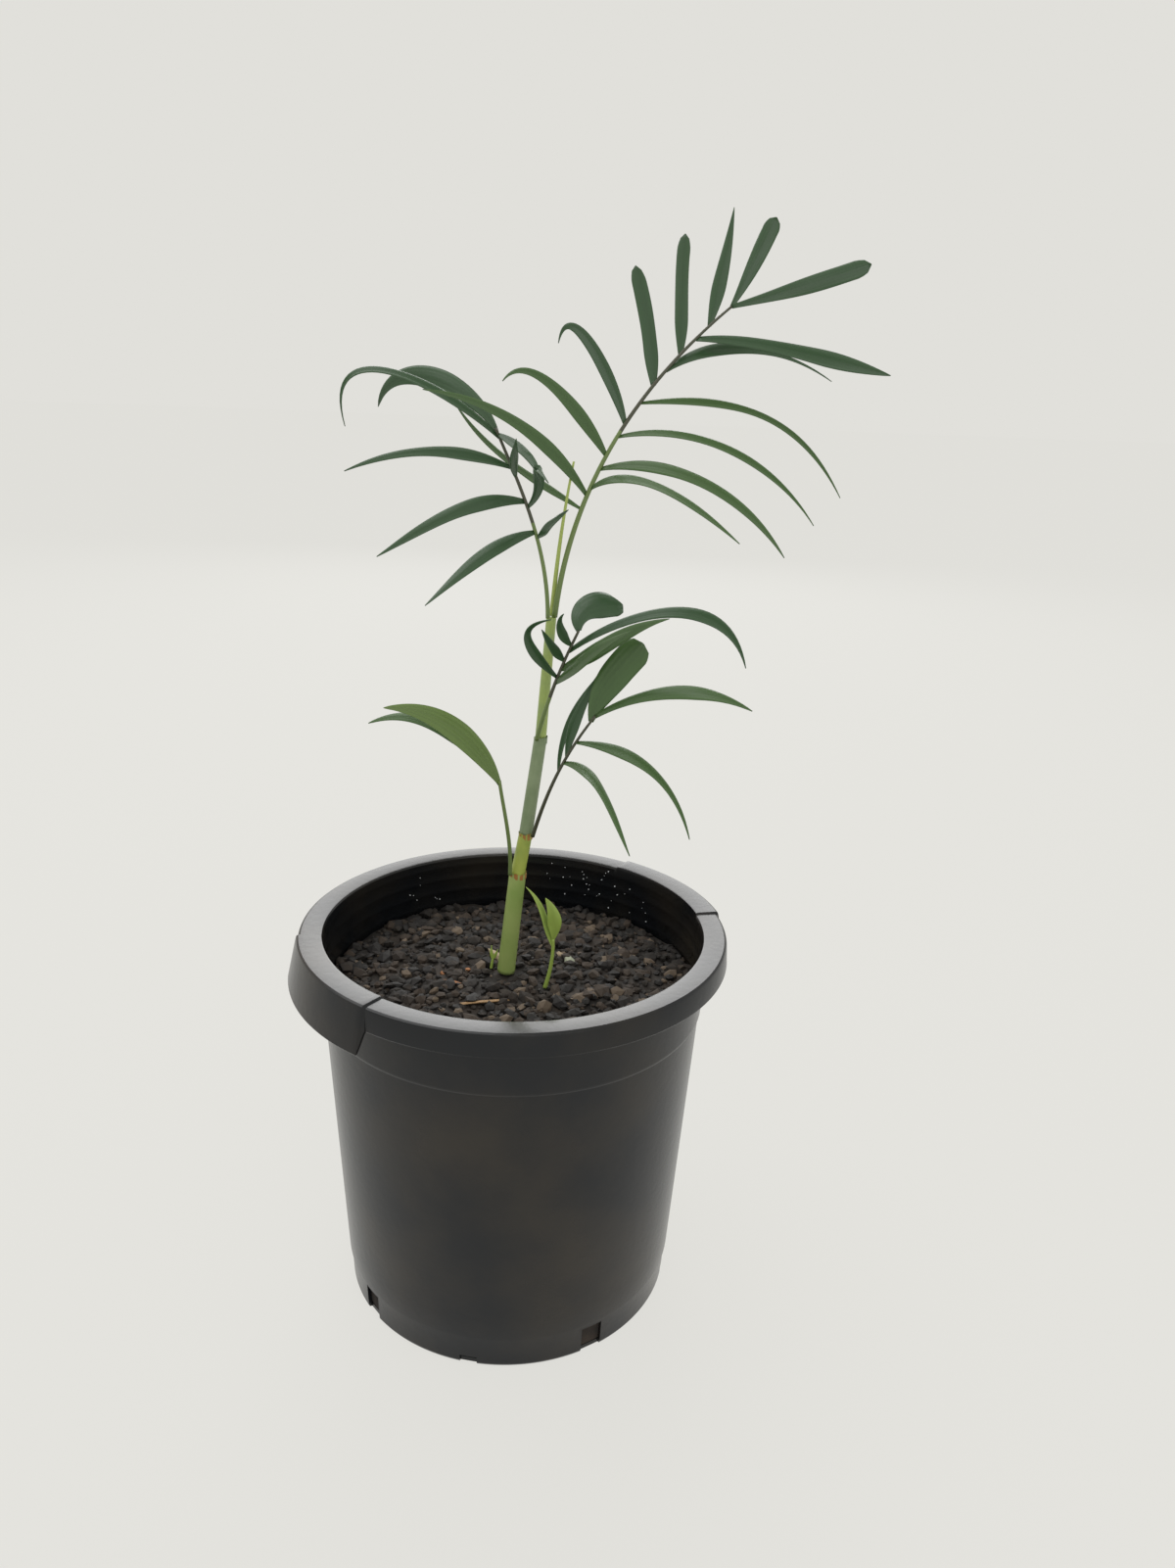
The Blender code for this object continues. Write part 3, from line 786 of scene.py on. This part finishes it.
def inner_outline():
    """The wall's inside, from the rim down over its fine rings to the floor."""
    outline = []
    for ring in INNER_RINGS:
        wall = inner_radius(ring)
        outline += [(wall, ring + 1.3), (wall - RING_OUT, ring + 0.4)]
        outline += [(wall - RING_OUT, ring - 0.4), (wall + 0.1, ring - 1.3)]
    outline.append((inner_radius(INNER_BEND), INNER_BEND))
    outline.append((BASE_RADIUS - WALL_THICKNESS, FLOOR_THICKNESS))
    return outline


def turned_angles():
    """Angles of the pot's sections, with close ones where a grip ends."""
    angles = [360.0 * number / POT_SECTIONS for number in range(POT_SECTIONS)]
    for centre in GRIP_CENTRES:
        for end in (-GRIP_HALF_ANGLE, GRIP_HALF_ANGLE):
            angles += [(centre + end + shift) % 360.0 for shift in GRIP_END_SHIFTS]
    return sorted(angles)


def slot_block(cut, angle, size):
    """A block that cuts one drain slot through the wall at an angle."""
    radians = math.radians(angle)
    out = Vector((math.sin(radians), -math.cos(radians), 0.0))
    across = Vector((math.cos(radians), math.sin(radians), 0.0))
    inside, outside = SLOT_REACH
    corners = []
    for level in (-SLOT_DROP, size[1]):
        for reach, side in ((inside, -1), (outside, -1), (outside, 1), (inside, 1)):
            spot = out * reach + across * (side * size[0] / 2)
            corners.append(spot + Vector((0.0, 0.0, level)))
    block = [(3, 2, 1, 0), (4, 5, 6, 7), (0, 1, 5, 4), (1, 2, 6, 5), (2, 3, 7, 6), (3, 0, 4, 7)]
    cut.add(corners, block, [0] * 6)


def build_pot():
    """The pot's shell, turned round its axis, with its drain slots cut."""
    angles = turned_angles()
    points = []
    for angle in angles:
        radians = math.radians(angle)
        outline = lower_outline() + rim_outline(grip_share(angle)) + inner_outline()
        points.extend((r * math.sin(radians), -r * math.cos(radians), z) for r, z in outline)
    count = len(outline)
    starts = [number * count for number in range(len(angles))]
    faces = []
    for number, here in enumerate(starts):
        there = starts[(number + 1) % len(starts)]
        for step in range(count - 1):
            faces.append((here + step, there + step, there + step + 1, here + step + 1))
    foot = len(points)
    points += [(0.0, 0.0, 0.0), (0.0, 0.0, FLOOR_THICKNESS)]
    for number, here in enumerate(starts):
        there = starts[(number + 1) % len(starts)]
        faces.append((foot, there, here))
        faces.append((foot + 1, here + count - 1, there + count - 1))
    black = material("pot_black", *POT_LOOK)
    shader = black.node_tree.nodes["Principled BSDF"]
    shader.inputs["Specular IOR Level"].default_value = POT_SPECULAR
    pot = piece("pot_shell", points, faces, [black])
    cut = Heap()
    for slot_angles, size in ((TALL_SLOTS, TALL_SLOT_SIZE), (LOW_SLOTS, LOW_SLOT_SIZE)):
        for angle in slot_angles:
            slot_block(cut, angle, size)
    cutter = cut.build("slot_cutter", [black], False)
    change = pot.modifiers.new("slots", "BOOLEAN")
    change.operation = "DIFFERENCE"
    change.object = cutter
    change.solver = "EXACT"
    bpy.context.view_layer.update()
    graph = bpy.context.evaluated_depsgraph_get()
    mesh = bpy.data.meshes.new_from_object(pot.evaluated_get(graph))
    pot.modifiers.clear()
    pot.data = mesh
    mesh.set_sharp_from_angle(angle=math.radians(SHARP_ANGLE))
    bpy.data.objects.remove(cutter)
    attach(pot, "root")
    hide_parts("pot")


def soil_height(x, y):
    """The soil's surface, in millimetres."""
    radius = math.hypot(x, y)
    share = smooth_step((radius - SOIL_PLATEAU) / SOIL_SLOPE)
    base = SOIL_TOP - (SOIL_TOP - SOIL_EDGE) * share
    broad = noise.noise(Vector((x * BROAD_PACE, y * BROAD_PACE, 3.1)))
    fine = noise.noise(Vector((x * FINE_PACE, y * FINE_PACE, 1.7)))
    calm = smooth_step((radius - 3.0) / 10.0)
    return base - SOIL_SINK + (broad * BROAD_RELIEF + fine * FINE_RELIEF) * calm


def round_spot(radius, angle):
    """x and y at a radius and an angle from the front to the right."""
    return radius * math.sin(angle), -radius * math.cos(angle)


def clod(heap, rng, centre, size, flat, pick):
    """One rough lump of soil."""
    work = bmesh.new()
    bmesh.ops.create_icosphere(work, subdivisions=1, radius=1.0)
    wide = (rng.uniform(0.7, 1.3), rng.uniform(0.7, 1.3), rng.uniform(0.55, 1.0) * flat)
    spin = Matrix.Rotation(rng.uniform(0, 6.28), 3, "Z")
    spin = spin @ Matrix.Rotation(rng.uniform(-0.6, 0.6), 3, "X")
    points = []
    for vert in work.verts:
        rough = rng.uniform(0.72, 1.22)
        spot = Vector(a * b for a, b in zip(vert.co, wide)) * (size * rough)
        points.append(Vector(centre) + spin @ spot)
    faces = [tuple(vert.index for vert in face.verts) for face in work.faces]
    work.free()
    heap.add(points, faces, [pick] * len(faces))


def build_soil_body(kinds, edge):
    """The mass of soil that fills the pot, with an uneven surface."""
    heap = Heap()
    sides = SOIL_SIDES
    turns = [2 * math.pi * side / sides for side in range(sides)]
    for ring in range(SOIL_RINGS + 1):
        radius = edge * max(SOIL_CENTRE, ring / SOIL_RINGS)
        for angle in turns:
            x, y = round_spot(radius, angle)
            heap.points.append(Vector((x, y, soil_height(x, y))))
    low_edge = inner_radius(FLOOR_THICKNESS) - SOIL_CLEAR
    for angle in turns:
        x, y = round_spot(low_edge, angle)
        heap.points.append(Vector((x, y, FLOOR_THICKNESS + SOIL_CLEAR)))
    for ring in range(SOIL_RINGS + 1):
        low = ring * sides
        for side in range(sides):
            after = (side + 1) % sides
            heap.faces.append((low + side, low + sides + side, low + sides + after, low + after))
            heap.picks.append(0)
    heap.faces.append(tuple(reversed(range(sides))))
    heap.faces.append(tuple(range((SOIL_RINGS + 1) * sides, (SOIL_RINGS + 2) * sides)))
    heap.picks.extend([0, 0])
    body = heap.build("soil_body", kinds)
    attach(body, "root")
    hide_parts("soil")


def build_clods(kinds, edge, rng):
    """Clods all over the surface, clear of the stem's foot and of the pot's wall."""
    lumps = Heap()
    for _ in range(CLODS):
        radius = edge * math.sqrt(rng.random()) * CLOD_SPREAD
        x, y = round_spot(radius, rng.uniform(0, 2 * math.pi))
        size = rng.uniform(*SMALL_CLOD) if rng.random() < SMALL_SHARE else rng.uniform(*LARGE_CLOD)
        if math.hypot(x - JOINTS[0][0], y - JOINTS[0][1]) < STEM_ROOM + size:
            continue
        size = min(size, edge + WALL_ROOM - radius)
        pick = rng.choices(range(len(CLOD_SHARES)), CLOD_SHARES)[0]
        clod(lumps, rng, (x, y, soil_height(x, y) + size * CLOD_LIFT), size, CLOD_FLAT, pick)
    clods = lumps.build("soil_clods", kinds, False)
    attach(clods, "root")


def build_bits(kinds, rng):
    """The stones, and the chips of bark and leaf, that stand out in the soil."""
    names = list(SOIL_LOOKS)
    bits = Heap()
    for x, y, size, flat, look in STONES:
        spot = (x, y, soil_height(x, y) + size * STONE_LIFT)
        clod(bits, rng, spot, size, flat, names.index(look))
    for x, y, long, wide, spin, look in CHIPS:
        start = len(bits.points)
        clod(bits, rng, (0.0, 0.0, 0.0), 1.0, CHIP_FLAT, names.index(look))
        turn = Matrix.Rotation(math.radians(spin), 3, "Z")
        rest = Vector((x, y, soil_height(x, y) + 1.0))
        for index in range(start, len(bits.points)):
            spot = bits.points[index]
            stretched = Vector((spot.x * long, spot.y * wide, spot.z * CHIP_THICK))
            bits.points[index] = turn @ stretched + rest
    chips = bits.build("soil_bits", kinds, False)
    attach(chips, "root")


def build_soil():
    """The soil's body, and the clods, stones and chips on it."""
    kinds = [material(name, *look) for name, look in SOIL_LOOKS.items()]
    edge = inner_radius(SOIL_EDGE) - 0.2
    rng = random.Random(SEED)
    build_soil_body(kinds, edge)
    build_clods(kinds, edge, rng)
    build_bits(kinds, rng)


def build_drops():
    """Small water drops on the pot's inner wall, coloured near-white as a painted highlight of their
    glints.
    """
    heap = Heap()
    rng = random.Random(SEED + 9)
    for low, high, count in DROP_PATCHES:
        for _ in range(count):
            angle = math.radians(rng.uniform(low, high))
            height = rng.uniform(*DROP_HEIGHTS)
            x, y = round_spot(inner_radius(height) - DROP_OUT, angle)
            work = bmesh.new()
            finer = 2
            bmesh.ops.create_icosphere(work, subdivisions=finer, radius=rng.uniform(*DROP_SIZE))
            points = [Vector((x, y, height)) + vert.co for vert in work.verts]
            faces = [tuple(vert.index for vert in face.verts) for face in work.faces]
            work.free()
            heap.add(points, faces, [0] * len(faces))
    # Near-white drop colour: painted highlight, not a colour the water has
    made = heap.build("water_drops", [material("water", WATER_GLINT_COLOUR, WATER_ROUGH)])
    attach(made, "root")


def build_floor():
    """A pale floor that runs on into the background and takes only a faint shadow."""
    floor_mesh = bpy.data.meshes.new("floor")
    corners = ((-1, -1), (1, -1), (1, 1), (-1, 1))
    points = [(x * FLOOR_SIDE, y * FLOOR_SIDE, -FLOOR_GAP) for x, y in corners]
    floor_mesh.from_pydata(points, [], [(0, 1, 2, 3)])
    floor = bpy.data.objects.new("floor", floor_mesh)
    bpy.context.scene.collection.objects.link(floor)
    made = bpy.data.materials.new("floor_pale")
    made.use_nodes = True
    nodes = made.node_tree.nodes
    links = made.node_tree.links
    nodes.clear()
    output = nodes.new("ShaderNodeOutputMaterial")
    flat = nodes.new("ShaderNodeEmission")
    flat.inputs["Color"].default_value = (*BACKDROP, 1.0)
    soft = nodes.new("ShaderNodeBsdfDiffuse")
    soft.inputs["Color"].default_value = (*FLOOR_COLOUR, 1.0)
    mix = nodes.new("ShaderNodeMixShader")
    mix.inputs[0].default_value = FLOOR_SHADE
    links.new(flat.outputs[0], mix.inputs[1])
    links.new(soft.outputs[0], mix.inputs[2])
    links.new(mix.outputs[0], output.inputs[0])
    floor_mesh.materials.append(made)


def build_lights():
    """An even sky, and soft lamps above, behind and in front."""
    world = bpy.data.worlds.new("sky")
    bpy.context.scene.world = world
    world.use_nodes = True
    back = world.node_tree.nodes["Background"]
    back.inputs["Color"].default_value = (*BACKDROP, 1.0)
    back.inputs["Strength"].default_value = 1.0
    for name, spot, size, power in LAMPS:
        lamp = bpy.data.lights.new(name, "AREA")
        lamp.size = size
        lamp.energy = power
        thing = bpy.data.objects.new(name, lamp)
        thing.location = spot
        thing.visible_camera = False
        thing.rotation_mode = "QUATERNION"
        aim = Vector(LAMP_TARGET) - Vector(spot)
        thing.rotation_quaternion = aim.to_track_quat("-Z", "Y")
        bpy.context.scene.collection.objects.link(thing)


def build_camera():
    """The camera, at the place and angle the photograph was taken from."""
    data = bpy.data.cameras.new("camera")
    data.lens = CAMERA_LENS
    data.sensor_width = SENSOR_LONG_SIDE
    camera = bpy.data.objects.new("camera", data)
    bpy.context.scene.collection.objects.link(camera)
    camera.location = Vector(CAMERA_PLACE) * MM
    down = math.radians(CAMERA_DOWN)
    right = math.radians(CAMERA_RIGHT)
    roll = math.radians(CAMERA_ROLL)
    ahead = math.cos(right) * math.cos(down)
    forward = Vector((math.sin(right) * math.cos(down), ahead, -math.sin(down)))
    level = unit(forward.cross(Vector((0.0, 0.0, 1.0))))
    above = level.cross(forward)
    x_axis = level * math.cos(roll) + above * math.sin(roll)
    y_axis = x_axis.cross(forward)
    turn = Matrix((x_axis, y_axis, -forward)).transposed()
    camera.rotation_mode = "QUATERNION"
    camera.rotation_quaternion = turn.to_quaternion()
    bpy.context.scene.camera = camera


LEAF_MATERIALS = leaf_materials()
build_frond("frond_top", TOP_RIB, TOP_LEAVES, TOP_SHADES, part_green(0.55), 1)
build_frond("frond_left", LEFT_RIB, LEFT_LEAVES, ("deep",), part_green(0.5), 2)
build_frond("frond_middle", MIDDLE_RIB, MIDDLE_LEAVES, MIDDLE_SHADES, part_green(0.4), 3)
build_frond("frond_lower", LOWER_RIB, LOWER_LEAVES, LOWER_SHADES, part_green(0.0), 4)
build_frond("low_leaf", LOW_RIB, LOW_LEAVES, ("fresh", "mid"), lambda t: "stalk_green", 5, 36, 16)
build_frond("side_shoot", SHOOT_RIB, SHOOT_LEAVES, ("spring",), lambda t: "spring", 6)
build_frond("sprout", SPROUT_RIB, SPROUT_LEAVES, ("spring",), lambda t: "spring", 7, 12, 6)
build_stem()
build_spear()
build_pot()
build_soil()
build_drops()
build_floor()
build_lights()
build_camera()
